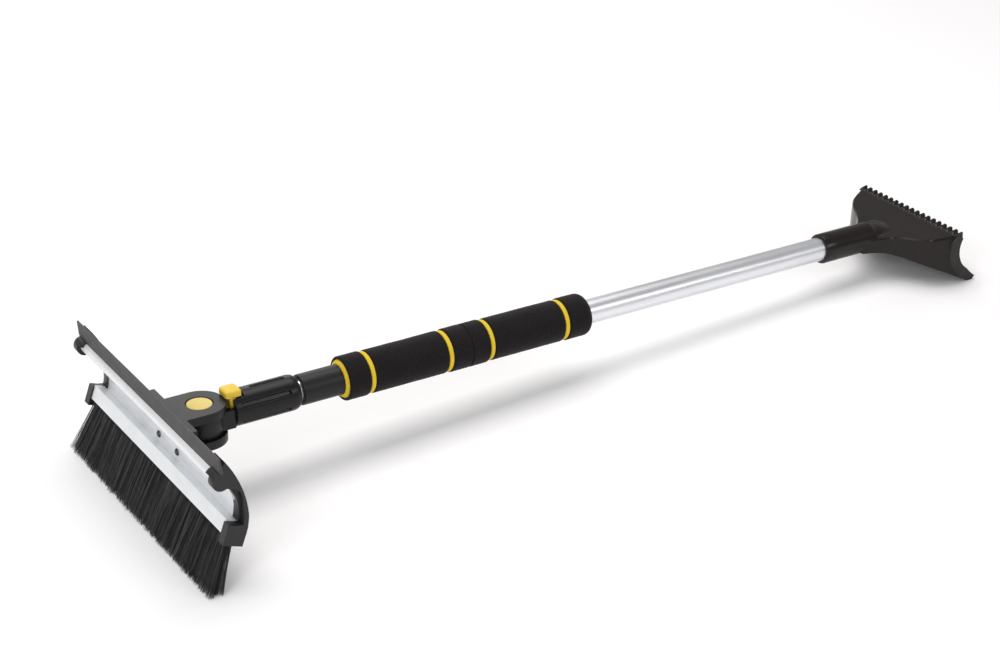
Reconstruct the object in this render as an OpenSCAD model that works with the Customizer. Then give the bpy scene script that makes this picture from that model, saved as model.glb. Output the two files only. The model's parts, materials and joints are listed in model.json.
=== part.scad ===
// Snow brush with a squeegee head on a swivel, a telescopic pole and an ice scraper.
// Lengths are in millimetres. The pole runs along X, the swivel axis along Z.

/* [Pole] */
// Outside diameter of the outer tube
outer_tube_d = 22; // [21.6:0.1:22.2]
// Outside diameter of the inner tube
inner_tube_d = 19; // [18.8:0.1:19.2]
// Wall of both tubes
tube_wall = 1; // [0.9:0.05:1.05]
// Distance from the swivel axis to the mouth of the bush
bush_x = 87; // [87:1:92]
// Distance from the swivel axis to the far end of the inner tube
inner_tube_end = 560; // [480:5:580]

/* [Grips] */
// Diameter of the foam of the long bands
foam_d = 36.8; // [36:0.1:37.2]
// Diameter of the foam of the short bands
foam_band_d = 37.6; // [37:0.1:38]
// Distance from the swivel axis to the start of the foam
foam_x = 124; // [122:1:126]
// Length of the grip nearer the brush
front_grip_len = 119; // [118:1:120]
// Length of the grip nearer the scraper
rear_grip_len = 123; // [122:1:124]

/* [Scraper] */
// Width of the two blades
scraper_w = 135.4; // [120:1:150]
// Number of ice teeth
teeth = 19; // [11:2:23]
// Depth of a tooth
tooth_depth = 5; // [3:0.5:6]
// Distance from the swivel axis to the mouth of the socket
socket_x = 630; // [628:1:640]
// Outside diameter of the socket
socket_d = 28; // [27:0.5:29]

/* [Brush head] */
// Length of the aluminium profile
profile_len = 252; // [240:2:260]
// Overall width over the end caps
head_w = 268; // [266:1:270]
// Length of the squeegee blade
blade_len = 271; // [266:1:276]
// Free length of the bristles
bristle_len = 47; // [36:1:50]
// Forward lean of the bristles
lean = 20; // [18:1:22]

/* [Swivel] */
// Radius of the bracket ears
ear_r = 21.3; // [21:0.1:21.4]
// Thickness of an ear
ear_t = 7.5; // [7:0.1:7.6]
// Radius of the swivel barrel
barrel_r = 18.5; // [18:0.1:19]
// Radius of the yellow pivot cap
cap_r = 10.5; // [10:0.1:10.8]
// Travel of the slide lock
lock_travel = 1.8; // [1.2:0.1:1.8]

/* [Hidden] */

round_fn = 96;
fit_gap = 0.05;      // glued or pressed faces
run_gap = 0.08;      // turning and sliding fits
clear_gap = 0.3;     // free faces of different bodies

// Pole
outer_r = outer_tube_d / 2;
outer_bore_r = outer_r - tube_wall;
inner_r = inner_tube_d / 2;
inner_bore_r = inner_r - tube_wall;
inner_start = 30;
bush_r = 13;
bush_lip = 2;
bush_end = foam_x - 0.3;
tube_x0 = bush_x + bush_lip;
socket_floor = socket_x + 38;
screw_x = socket_x + 23;
screw_r = 1.6;
cam_journal_r = 5;
cam_journal_len = 20;
cam_flange = 2;

// Foam: yellow core under black bands, with yellow ribs showing between the bands
core_r = 16.9;
rib_r = 17.9;
rib_w = 4.2;
front_end = foam_x + front_grip_len;
rear_end = front_end + rear_grip_len;
ribs_front = [foam_x + 22, front_end - 22.6];
ribs_rear = [front_end + 18, rear_end - 29.2];
core_nose = 4;

// Scraper, drawn from the side: teeth on top, straight blade below
tooth_tip = [747, 16];
blade_tip = [767.6, -32.5];
blade_heel = [764.6, -35.8];
hollow_c = [769.5, -2.2];
hollow_r = 24;
plate_start = [676, 0.9];
belly_start = [690, -10.9];
belly_bend = [712, -11];
belly_end = [759, -36];
flare_start = [676, 12];
flare_bend = [698, 16.5];
flare_mid = [707, 36];
flare_bend2 = [718, 60.5];
flare_end_x = 736.5;

// Head section, drawn from the side: web arc, bead above it, brush channel below it
web_c = [-61.3, -10];
web_r = 33.3;
web_t = 1.6;
web_top = 54;
web_bottom = -20;
bead_c = [-42.5, 20.3];
bead_r = 5.3;
bead_bore = 3.4;
blade_slot = 2.9;
blade_root = [-42.9, 22];
blade_tip_edge = [-45.1, 40.1];
lip_foot = 5;
blade_angle = atan2(blade_root[0] - blade_tip_edge[0], blade_tip_edge[1] - blade_root[1]);
channel_at = [-42.3, -28.6];
channel_w = 14;
channel_h = 12;
channel_wall = 1.5;
channel_mouth = 7;
bristle_base = 6;
bristle_foot = 14;
bristle_reach = 4;
bristle_flare = 13.5;
rivet_y = 17.3;
rivet_z = -15.2;
cap_screw_y = 121.5;
cap_screw_z = -3;

// Swivel levels along its axis
ear_top = 12.24;
ear_under = ear_top - ear_t;
ear2_top = -12.8;
ear2_under = ear2_top - ear_t;
barrel_top = ear_under - clear_gap;
barrel_under = ear2_top + clear_gap;
plate_x = [-27.6, -20.4];
plate_y = 41;
plate_z = [-20.6, ear_top];
bolt_r = 4;
washer_r = 10;
washer_t = 2.6;
cap_hole_r = 11.3;
cap_floor = 7;
nut_r = 7.2;
nut_h = 3.6;
index_bed = ear_under - washer_t - run_gap;

// Sleeve and slide lock
sleeve_x = [25.6, 86];
sleeve_r = 15;
sleeve_end_r = 12.8;
groove_n = 6;
groove_w = 4.6;
groove_depth = 1.5;
sleeve_screw_x = 55;
slot_floor = 11.9;
pad_x = [20, 34];
pad_y = 7.5;
pad_z = [12.65, 19.1];
web_x = [23.4, 25.2];
web_foot = 2.6;
tongue_y = 3.2;
tongue_tip = 16.8;
tongue_top = 4.2;
index_r = [11.2, 16.5];
index_under = 2.5;
index_floor = 14.6;
index_step = 45;
neck_top = 4.4;
neck_under = -11.5;
neck_y = 12;

// The part stands on its bristle tips and its scraper blade
function on_channel(u, v) = [
    channel_at[0] + u * cos(lean) + v * sin(lean),
    channel_at[1] - u * sin(lean) + v * cos(lean)];
tips = on_channel(bristle_reach, -bristle_len);
tilt = atan2(blade_heel[1] - tips[1], blade_heel[0] - tips[0]);
hub_x = -(tips[0] * cos(tilt) + tips[1] * sin(tilt));
hub_z = tips[0] * sin(tilt) - tips[1] * cos(tilt);

function arc(c, r, a0, a1, n = 12) =
    [for (i = [0 : n]) c + r * [cos(a0 + (a1 - a0) * i / n), sin(a0 + (a1 - a0) * i / n)]];
function bend(a, b, c, n = 10) =
    [for (i = [0 : n]) let (t = i / n) (1 - t) * (1 - t) * a + 2 * t * (1 - t) * b + t * t * c];

// Moves a sub-part from the swivel's own axes to its place on the ground
module place() {
    translate([hub_x, 0, hub_z]) rotate([0, tilt, 0]) children();
}

// Turns a profile of [radius, distance] points about the pole axis
module turned(points) {
    rotate([0, 90, 0]) rotate_extrude($fn = round_fn) polygon(points);
}

// A rod along the pole axis
module rod(r, x0, x1, fn = round_fn) {
    translate([x0, 0, 0]) rotate([0, 90, 0]) cylinder(r = r, h = x1 - x0, $fn = fn);
}

// Draws a side view of [x, z] points or shapes over a width along Y
module across(y0, y1) {
    translate([0, y1, 0]) rotate([90, 0, 0]) linear_extrude(y1 - y0) children();
}

module outer_tube() {
    color("silver") place() difference() {
        rod(outer_r, tube_x0, socket_floor);
        rod(outer_bore_r, tube_x0 - 1, socket_floor + 1);
        translate([screw_x, 0, -outer_r - 1]) cylinder(r = screw_r, h = 3, $fn = 32);
    }
}

module tube_bush() {
    color("#1b1b1d") place() difference() {
        turned(concat([[0, bush_x]], arc([bush_r - 1.4, bush_x + 1.4], 1.4, -90, 0, 5),
            [[bush_r, bush_end], [0, bush_end]]));
        rod(inner_r + run_gap, bush_x - 1, tube_x0 + 1);
        rod(outer_r + fit_gap, tube_x0, bush_end + 1);
    }
}

// Yellow foam tube with ribs that show between the black bands
module foam_core(x0, x1, ribs, nose) {
    module rib(x) {
        turned(concat([[core_r - 1, x], [core_r, x]],
            arc([rib_r - 1, x + 1], 1, -60, 0, 3), arc([rib_r - 1, x + rib_w - 1], 1, 0, 60, 3),
            [[core_r, x + rib_w], [core_r - 1, x + rib_w]]));
    }
    difference() {
        union() {
            turned([[0, x0], [core_r - nose * 0.85, x0], [core_r - nose * 0.35, x0 + nose * 0.3],
                [core_r, x0 + nose], [core_r, x1], [0, x1]]);
            for (x = ribs) rib(x);
        }
        rod(outer_r + fit_gap, x0 - 1, x1 + 1);
    }
}

module foam_core_front() {
    color("#e2c022") place() foam_core(foam_x, front_end - 0.2, ribs_front, core_nose);
}

module foam_core_rear() {
    color("#e2c022") place() foam_core(front_end + 0.2, rear_end - 6, ribs_rear, 0);
}

// Black foam skin, with its two ends rounded by radii a and b
module foam_band(x0, x1, d, a = 1.6, b = 1.6) {
    inner = core_r + fit_gap;
    place() turned(concat([[inner, x0 + 0.1]],
        arc([d / 2 - 1.6, x0 + a], 1.6, -80, 0, 5), arc([d / 2 - 1.6, x1 - b], 1.6, 0, 80, 5),
        [[inner, x1 - 0.1]]));
}

module foam_band_front_end() {
    color("#231f20") foam_band(foam_x + core_nose, ribs_front[0] - 0.1, foam_band_d);
}

module foam_grip_front() {
    color("#231f20") foam_band(ribs_front[0] + rib_w + 0.1, ribs_front[1] - 0.1, foam_d);
}

module foam_band_front_mid() {
    color("#231f20") foam_band(ribs_front[1] + rib_w + 0.1, front_end - 0.2, foam_band_d);
}

module foam_band_rear_mid() {
    color("#231f20") foam_band(front_end + 0.2, ribs_rear[0] - 0.1, foam_band_d);
}

module foam_grip_rear() {
    color("#231f20") foam_band(ribs_rear[0] + rib_w + 0.1, ribs_rear[1] - 0.1, foam_d);
}

// The last band closes over the end of the core
module foam_band_rear_end() {
    inner = core_r + fit_gap;
    x0 = ribs_rear[1] + rib_w + 0.1;
    nose = 7.5;
    color("#231f20") place() turned(concat([[inner, x0 + 0.1]],
        arc([foam_band_d / 2 - 1.6, x0 + 1.6], 1.6, -80, 0, 5),
        arc([foam_band_d / 2 - nose, rear_end - nose], nose, 0, 84, 8),
        [[outer_r + fit_gap, rear_end], [outer_r + fit_gap, rear_end - 5.9], [inner, rear_end - 5.9]]));
}

// Flared blade holder: side view and top view cut out of each other
module scraper_body() {
    intersection() {
        across(-scraper_w, scraper_w) polygon(concat([plate_start, [684, 2.7], tooth_tip,
            [tooth_tip[0] + 1.6, tooth_tip[1] - 7], blade_tip + [6, 8], blade_tip, blade_heel],
            bend(belly_end, belly_bend, belly_start), [[676, -10.9]]));
        translate([0, 0, -60]) linear_extrude(120) for (s = [0, 1]) mirror([0, s]) polygon(concat(
            [[flare_start[0], -1]], bend(flare_start, flare_bend, flare_mid),
            bend(flare_mid, flare_bend2, [flare_end_x, scraper_w / 2]),
            [[flare_end_x + 50, scraper_w / 2], [flare_end_x + 50, -1]]));
    }
}

module scraper_head() {
    pitch = scraper_w / (teeth - 1);
    boss_end = 708;
    color("#141416") place() difference() {
        union() {
            scraper_body();
            rod(socket_d / 2, socket_x, 688);
            intersection() {
                rod(socket_d / 2, 680, boss_end);
                across(-20, 20) polygon([[680, -9], [680, 14], [688, 14], [boss_end, 7.8],
                    [boss_end, -9]]);
            }
        }
        rod(outer_r + fit_gap, socket_x - 1, socket_floor);
        across(-scraper_w, scraper_w) union() {
            translate(hollow_c) circle(r = hollow_r, $fn = round_fn);
            polygon([[756.6, -22.4], blade_tip, blade_tip + [30, 0], [hollow_c[0] + 30, 16],
                [hollow_c[0], 20], hollow_c]);
        }
        for (i = [0 : teeth - 2])
            translate([tooth_tip[0], -scraper_w / 2 + pitch * (i + 0.5), 4]) linear_extrude(20)
                polygon([[-tooth_depth, 0], [4, pitch * 0.86], [4, -pitch * 0.86]]);
        translate([screw_x, 0, -socket_d / 2 - 1]) cylinder(r = screw_r + 0.05, h = 6, $fn = 32);
    }
}

// Self-tapping screw through a socket wall and its tube, seen from below
module wall_screw(x, wall_r, tip_r, head_r) {
    translate([x, 0, -wall_r]) {
        cylinder(r = 1.5, h = wall_r - tip_r, $fn = 32);
        translate([0, 0, -1.4]) cylinder(r1 = head_r - 1, r2 = head_r, h = 1.4, $fn = 32);
    }
}

module scraper_screw() {
    color("silver") place() wall_screw(screw_x, socket_d / 2, outer_bore_r - 2, 3);
}

module inner_tube() {
    color("silver") place() difference() {
        rod(inner_r, inner_start, inner_tube_end);
        rod(inner_bore_r, inner_start - 1, inner_tube_end + 1);
        translate([sleeve_screw_x, 0, -inner_r - 1]) cylinder(r = screw_r, h = 3, $fn = 32);
        translate([inner_tube_end - 8, 0, -inner_r - 1]) cylinder(r = 1.6, h = 3, $fn = 32);
    }
}

// Plug in the end of the inner tube, with a flattened journal for the lock ring
module lock_cam() {
    x0 = inner_tube_end;
    x1 = x0 + cam_flange + cam_journal_len;
    color("#3a3a3d") place() difference() {
        union() {
            rod(inner_bore_r - fit_gap, x0 - 18, x0);
            rod(inner_r, x0, x0 + cam_flange);
            intersection() {
                rod(cam_journal_r, x0, x1);
                translate([x0 - 1, -3.9, -10]) cube([cam_journal_len + 4, 7.8, 20]);
            }
            rod(7.6, x1, x1 + 2.5);
        }
        translate([x0 - 8, 0, -10]) cylinder(r = 1.6, h = 6, $fn = 32);
    }
}

module lock_cam_rivet() {
    color("silver") place() translate([inner_tube_end - 8, 0, -inner_r]) cylinder(r = 1.5, h = 5, $fn = 32);
}

// Split ring that the journal spreads against the wall of the outer tube
module lock_ring() {
    x0 = inner_tube_end + cam_flange + clear_gap;
    x1 = inner_tube_end + cam_flange + cam_journal_len - clear_gap;
    color("#d9d9d4") place() difference() {
        rod(outer_bore_r - run_gap, x0, x1);
        rod(cam_journal_r + run_gap, x0 - 1, x1 + 1);
        translate([x0 - 1, -1, 0]) cube([x1 - x0 + 2, 2, 20]);
    }
}

module swivel_neck() {
    color("#1a1b1c") place() difference() {
        union() {
            translate([0, 0, barrel_under]) cylinder(r = barrel_r, h = barrel_top - barrel_under, $fn = round_fn);
            translate([8, -neck_y, neck_under]) cube([sleeve_x[0] - 8.1, 2 * neck_y, neck_top - neck_under]);
            rod(inner_bore_r - fit_gap, sleeve_x[0] - 0.6, 66);
        }
        translate([0, 0, barrel_under - 1]) cylinder(r = bolt_r + run_gap, h = 30, $fn = 64);
        translate([0, 0, index_bed]) cylinder(r = index_r[1] + 0.4, h = 10, $fn = 64);
        translate([0, 0, barrel_under - 1])
            cylinder(r = washer_r + 0.4, h = ear2_top + washer_t + run_gap - barrel_under + 1, $fn = 64);
        translate([10, -tongue_y - 0.4, index_bed]) cube([20, 2 * tongue_y + 0.8, 10]);
        translate([web_x[0] - lock_travel - 0.4, -pad_y - 0.4, index_bed])
            cube([20, 2 * pad_y + 0.8, 10]);
        translate([sleeve_screw_x, 0, -10]) cylinder(r = screw_r, h = 6, $fn = 32);
    }
}

// Grooved grip sleeve over the neck and the inner tube, with a flat bed for the slide lock
module neck_sleeve() {
    x0 = sleeve_x[0];
    x1 = sleeve_x[1];
    module groove(start) {
        translate([start, 0, sleeve_r - groove_depth]) {
            cylinder(d = groove_w, h = 5, $fn = 32);
            translate([0, -groove_w / 2, 0]) cube([75 - start, groove_w, 5]);
            translate([75 - start, 0, 0]) cylinder(d = groove_w, h = 5, $fn = 32);
        }
    }
    color("#1c1c1e") place() difference() {
        turned(concat([[0, x0], [sleeve_r - 0.8, x0], [sleeve_r, x0 + 0.8]],
            bend([sleeve_r, x1 - 7], [sleeve_r - 0.1, x1 - 1], [sleeve_end_r, x1], 8), [[0, x1]]));
        rod(inner_r + fit_gap, inner_start - 0.1, x1 + 1);
        rod(inner_bore_r, x0 - 1, x1);
        turned([[0, x1 - 1.6], [10.9, x1 - 1.6], [11.6, x1 + 1], [0, x1 + 1]]);
        for (i = [1 : groove_n]) rotate([i * 360 / groove_n, 0, 0]) groove(i == groove_n ? 44 : 31);
        translate([x0 - 1, -pad_y - 1.2, slot_floor]) cube([pad_x[1] + 1.6 - x0 + 1, 2 * pad_y + 2.4, 10]);
        translate([sleeve_screw_x, 0, -20]) cylinder(r = screw_r, h = 12, $fn = 32);
    }
}

module sleeve_screw() {
    color("silver") place() wall_screw(sleeve_screw_x, sleeve_r - groove_depth + fit_gap, inner_bore_r - 2, 2.2);
}

// A block with upright round corners, from x0 to x1 and z0 to z1, y to either side
module round_block(x, y, z, r) {
    translate([0, 0, z[0]]) linear_extrude(z[1] - z[0]) {
        translate([x[0] + r, -y]) square([x[1] - x[0] - 2 * r, 2 * y]);
        translate([x[0], -y + r]) square([x[1] - x[0], 2 * y - 2 * r]);
        for (cx = [x[0] + r, x[1] - r], cy = [-y + r, y - r])
            translate([cx, cy]) circle(r = r, $fn = 32);
    }
}

// Thumb pad, the web that goes down into the neck, and the tongue that enters the index ring
module lock_slider() {
    color("#e6c51d") place() {
        round_block(pad_x, pad_y, pad_z, 2);
        translate([web_x[0], -pad_y, web_foot])
            cube([web_x[1] - web_x[0], 2 * pad_y, pad_z[0] + 1 - web_foot]);
        translate([tongue_tip, -tongue_y, web_foot])
            cube([web_x[1] - tongue_tip, 2 * tongue_y, tongue_top - web_foot]);
    }
}

// Two ears, the plate that joins them, and a web-shaped front that fits the profile
module bracket() {
    module ear(z0, r, h) {
        translate([0, 0, z0]) cylinder(r = r, h = h, $fn = round_fn);
        translate([plate_x[1] - 1, -ear_r, z0]) cube([-plate_x[1] + 1, 2 * ear_r, h]);
    }
    module index_ring() {
        difference() {
            translate([0, 0, index_under])
                cylinder(r = index_r[1], h = ear_under + 1 - index_under, $fn = round_fn);
            translate([0, 0, index_under - 1]) cylinder(r = index_r[0], h = 10, $fn = 64);
            for (a = [-90 : index_step : 90]) rotate([0, 0, a])
                translate([index_floor, -tongue_y - 0.4, index_under - 1])
                    cube([10, 2 * tongue_y + 0.8, ear_under + 1 - index_under]);
        }
    }
    color("#1f1e1f") place() difference() {
        union() {
            ear(ear_under, ear_r, ear_t);
            ear(ear2_under, ear_r, ear_t);
            index_ring();
            difference() {
                translate([plate_x[0] - 4, -plate_y, plate_z[0]])
                    cube([plate_x[1] - plate_x[0] + 4, 2 * plate_y, plate_z[1] - plate_z[0]]);
                across(-plate_y - 1, plate_y + 1)
                    translate(web_c) circle(r = web_r + web_t + fit_gap, $fn = 180);
            }
        }
        translate([0, 0, ear2_under - 1]) cylinder(r = bolt_r + fit_gap, h = 40, $fn = 64);
        translate([0, 0, cap_floor]) cylinder(r = cap_hole_r, h = 10, $fn = 64);
        translate([0, 0, ear2_under - 1]) cylinder(r = 7.6, h = 5.2, $fn = 64);
        for (s = [-1, 1]) translate([-32, s * rivet_y, rivet_z]) rotate([0, 90, 0])
            cylinder(r = 2.05, h = 20, $fn = 32);
    }
}

module pivot_bolt() {
    color("silver") place() {
        translate([0, 0, ear2_under + 0.15]) cylinder(r = 7.3, h = 4, $fn = 6);
        translate([0, 0, ear2_under + 0.2]) cylinder(r = bolt_r, h = cap_floor + nut_h - ear2_under - 0.2, $fn = 64);
    }
}

module pivot_nut() {
    color("silver") place() difference() {
        translate([0, 0, cap_floor]) cylinder(r = nut_r, h = nut_h, $fn = 6);
        translate([0, 0, cap_floor - 1]) cylinder(r = bolt_r + 0.02, h = nut_h + 2, $fn = 64);
    }
}

module friction_washers() {
    color("#e8e6df") place()
        for (z = [ear_under - washer_t, ear2_top]) difference() {
            translate([0, 0, z]) cylinder(r = washer_r, h = washer_t, $fn = 64);
            translate([0, 0, z - 1]) cylinder(r = bolt_r + fit_gap, h = washer_t + 2, $fn = 64);
        }
}

// Snap-in cap over the nut: thin domed disc with a skirt
module pivot_cap() {
    h = ear_top - 0.2 - cap_floor;
    color("#ecd873") place() translate([0, 0, cap_floor + 0.05]) rotate_extrude($fn = round_fn)
        polygon([[0, h - 1.1], [cap_r - 1.4, h - 1.3], [cap_r - 1.4, 0], [cap_r, 0],
            [cap_r, h - 0.5], [cap_r - 0.6, h], [0, h + 0.15]]);
}

module bracket_rivets() {
    color("#3c3c3e") place() for (s = [-1, 1]) translate([web_face(rivet_z), s * rivet_y, rivet_z]) {
        rotate([0, 90, 0]) cylinder(r = 2, h = 14, $fn = 32);
        rotate([0, -90, 0]) cylinder(r1 = 3.2, r2 = 2, h = 1.6, $fn = 32);
    }
}

// Side view of the profile: bead, web and brush channel
module profile_section() {
    difference() {
        union() {
            intersection() {
                difference() {
                    translate(web_c) circle(r = web_r + web_t, $fn = 180);
                    translate(web_c) circle(r = web_r, $fn = 180);
                }
                translate(web_c) polygon([[0, 0], 80 * [cos(web_bottom), sin(web_bottom)], [80, 0],
                    80 * [cos(web_top), sin(web_top)]]);
            }
            translate(bead_c) circle(r = bead_r, $fn = 48);
            translate(channel_at) rotate(-lean) square([channel_w, channel_h]);
        }
        translate(bead_c) circle(r = bead_bore, $fn = 48);
        translate(blade_root) rotate(blade_angle) translate([-blade_slot / 2, -1]) square([blade_slot, 10]);
        translate(channel_at) rotate(-lean) {
            translate([channel_wall, channel_wall])
                square([channel_w - 2 * channel_wall, channel_h - 2 * channel_wall]);
            translate([(channel_w - channel_mouth) / 2, -1]) square([channel_mouth, channel_h / 2]);
        }
    }
}

// Where the front of the web lies at a height z
function web_face(z) = web_c[0] + sqrt(web_r * web_r - pow(z - web_c[1], 2));

// Hole through the web with a flat seat for the head of a fastener
module seat(y, z, hole_r, seat_r) {
    translate([web_face(z) - 1, y, z]) rotate([0, 90, 0]) cylinder(r = hole_r, h = 6, $fn = 32);
    translate([web_face(z) - 4, y, z]) rotate([0, 90, 0]) cylinder(r = seat_r, h = 4, $fn = 32);
}

module head_profile() {
    color("#dfe3e4") place() difference() {
        across(-profile_len / 2, profile_len / 2) profile_section();
        for (s = [-1, 1]) {
            seat(s * rivet_y, rivet_z, 2.05, 3.3);
            seat(s * cap_screw_y, cap_screw_z, 1.65, 2.9);
        }
    }
}

// Rubber blade: bulb and root in the bead, thick lip that tapers to the wiping edge
module blade_lip(foot, grow = 0) {
    h = norm(blade_tip_edge - blade_root);
    translate(blade_root) rotate(blade_angle)
        polygon([[-1.35 - grow, foot], [1.35 + grow, foot], [1.35 + grow, lip_foot + 0.1], [0.7 + grow, h],
            [-0.7 - grow, h], [-1.35 - grow, lip_foot + 0.1]]);
}

module blade_root_section(grow = 0) {
    translate(bead_c) circle(r = bead_bore - 0.1 + grow, $fn = 48);
    blade_lip(-1, grow);
}

module squeegee_blade() {
    color("#3d3c3e") place() {
        across(-profile_len / 2, profile_len / 2) blade_root_section();
        across(-blade_len / 2, blade_len / 2) blade_lip(lip_foot);
    }
}

// Plastic strip that holds the bristles inside the channel
module bristle_strip() {
    color("#161617") place() across(-profile_len / 2 + 1, profile_len / 2 - 1)
        translate(channel_at) rotate(-lean) {
            translate([channel_wall + 0.3, channel_wall + 0.3])
                square([channel_w - 2 * channel_wall - 0.6, channel_h - 2 * channel_wall - 0.6]);
            translate([(channel_w - channel_mouth) / 2 + 0.3, -0.6])
                square([channel_mouth - 0.6, channel_wall + 2]);
        }
}

// Simple block for the bristles: narrow under the strip, wide and level at the tips
module bristles() {
    top = on_channel(channel_w / 2, -0.7);
    top_w = profile_len - 4;
    foot_w = top_w + 2 * bristle_flare;
    color("#101011") place() hull() {
        translate([top[0], 0, top[1]]) rotate([0, lean, 0])
            translate([-bristle_base / 2, -top_w / 2, -0.5]) cube([bristle_base, top_w, 0.5]);
        translate([tips[0], 0, tips[1]]) rotate([0, -tilt, 0])
            translate([-bristle_foot / 2, -foot_w / 2, 0]) cube([bristle_foot, foot_w, 0.5]);
    }
}

// Side view of the end cap: rim that follows the back of the web, from the blade down to the clip
module cap_side() {
    polygon(concat(bend([-40, 35.5], [-24.5, 12], [-23, -12.8]), bend([-23, -12.8], [-23.2, -28], [-30.8, -39.2]),
        [[-41.2, -34.1], [-37.8, -20], [-27.9, -21.5], [-26.6, -11.7], [-26.7, 0.7], [-28.9, 7], [-32.4, 9.7],
        [-43.8, 14.8], [-44.5, 29.3]]));
}

module cap_knob() {
    translate(bead_c + [-1, -1]) circle(r = 7.4, $fn = 48);
}

// Front and back walls of the clip round the brush channel
module cap_clip() {
    translate(channel_at) rotate(-lean) translate([-1.4, -6.3]) square([channel_w + 3, 16.8]);
}

// Everything that the cap is pushed over
module cap_core() {
    translate(web_c) circle(r = web_r + web_t + fit_gap, $fn = 128);
    translate(bead_c) circle(r = bead_r + fit_gap, $fn = 48);
    translate(channel_at) rotate(-lean) translate([-fit_gap, -9])
        square([channel_w + 2 * fit_gap, channel_h + 9 + fit_gap]);
    blade_lip(0, 0.1);
}

// Tab on the hollow side of the web, from tab_r out to the given radius
module cap_tab(outer_r) {
    tab_r = 32.4;
    intersection() {
        difference() {
            translate(web_c) circle(r = outer_r, $fn = 128);
            translate(web_c) circle(r = tab_r, $fn = 128);
        }
        translate(web_c) polygon([[0, 0], 90 * [cos(-18), sin(-18)], 90 * [cos(29), sin(29)]]);
    }
}

// End cap for the +Y end: end plate, knob round the bead, clip round the channel
module end_cap() {
    y0 = profile_len / 2;
    y1 = head_w / 2;
    difference() {
        union() {
            across(y0 + 0.1, y1) {
                cap_side();
                cap_knob();
                cap_clip();
            }
            across(y0 - 6, y0 + 0.2) difference() {
                cap_knob();
                cap_core();
            }
            across(y0 - 4, y0 + 0.2) difference() {
                cap_clip();
                cap_core();
            }
            across(cap_screw_y - 5, y0 + 0.2) difference() {
                cap_side();
                cap_core();
            }
            across(cap_screw_y - 1.5, y0 + 0.2) cap_tab(web_r - fit_gap);
            across(y0 + 0.1, y0 + 3) cap_tab(web_r + web_t + 1);
        }
        across(0, y1 + 1) blade_lip(lip_foot, 0.1);
        translate([-34, cap_screw_y, cap_screw_z]) rotate([0, 90, 0]) cylinder(r = 1.65, h = 10, $fn = 32);
        translate([-36, cap_screw_y, cap_screw_z]) rotate([0, 90, 0]) cylinder(r = 2.95, h = 8, $fn = 32);
    }
}

module end_cap_left() {
    color("#202022") place() end_cap();
}

module end_cap_right() {
    color("#202022") place() mirror([0, 1, 0]) end_cap();
}

module end_cap_screws() {
    color("silver") place() for (s = [-1, 1]) translate([web_face(cap_screw_z), s * cap_screw_y, cap_screw_z]) {
        rotate([0, 90, 0]) cylinder(r = 1.6, h = 4.4, $fn = 32);
        rotate([0, -90, 0]) cylinder(r1 = 2.8, r2 = 2, h = 1.2, $fn = 32);
    }
}

outer_tube();
tube_bush();
foam_core_front();
foam_core_rear();
foam_band_front_end();
foam_grip_front();
foam_band_front_mid();
foam_band_rear_mid();
foam_grip_rear();
foam_band_rear_end();
scraper_head();
scraper_screw();
inner_tube();
lock_cam();
lock_cam_rivet();
lock_ring();
swivel_neck();
neck_sleeve();
sleeve_screw();
lock_slider();
bracket();
pivot_bolt();
pivot_nut();
friction_washers();
pivot_cap();
bracket_rivets();
head_profile();
squeegee_blade();
bristle_strip();
bristles();
end_cap_left();
end_cap_right();
end_cap_screws();
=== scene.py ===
"""Snow brush with a squeegee head, a telescopic pole and an ice scraper: the looks around the CAD frame.

Shapes are written in millimetres in the swivel's own axes: X along the pole, Z along the swivel axis,
origin where they cross. HUB brings them into the row frame, in metres.
"""
import json
import math
import random

import bmesh
import bpy
from mathutils import Matrix, Vector, noise


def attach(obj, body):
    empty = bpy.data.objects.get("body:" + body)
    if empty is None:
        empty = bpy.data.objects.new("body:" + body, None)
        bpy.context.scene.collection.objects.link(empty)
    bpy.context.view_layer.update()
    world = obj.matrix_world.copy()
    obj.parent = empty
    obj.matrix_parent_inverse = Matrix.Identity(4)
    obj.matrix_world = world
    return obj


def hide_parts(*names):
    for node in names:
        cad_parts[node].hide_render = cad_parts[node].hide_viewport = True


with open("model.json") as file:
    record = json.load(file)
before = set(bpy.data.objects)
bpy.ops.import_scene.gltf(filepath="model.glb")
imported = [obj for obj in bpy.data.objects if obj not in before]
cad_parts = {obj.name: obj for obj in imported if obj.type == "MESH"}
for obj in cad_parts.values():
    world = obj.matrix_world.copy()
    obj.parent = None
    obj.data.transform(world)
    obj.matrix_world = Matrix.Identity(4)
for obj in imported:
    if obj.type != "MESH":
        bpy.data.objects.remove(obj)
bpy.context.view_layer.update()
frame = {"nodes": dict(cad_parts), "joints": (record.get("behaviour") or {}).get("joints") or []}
nodes = frame["nodes"]
joints = {j["name"]: j for j in frame["joints"]}

MM = 0.001
x_axis = -Vector(joints["pole_extend"]["axis"])
z_axis = Vector(joints["head_swivel"]["axis"])
y_axis = z_axis.cross(x_axis)
TURN = Matrix((x_axis, y_axis, z_axis)).transposed().to_4x4()
HUB = Matrix.Translation(joints["head_swivel"]["pos_m"]) @ TURN @ Matrix.Scale(MM, 4)


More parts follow.
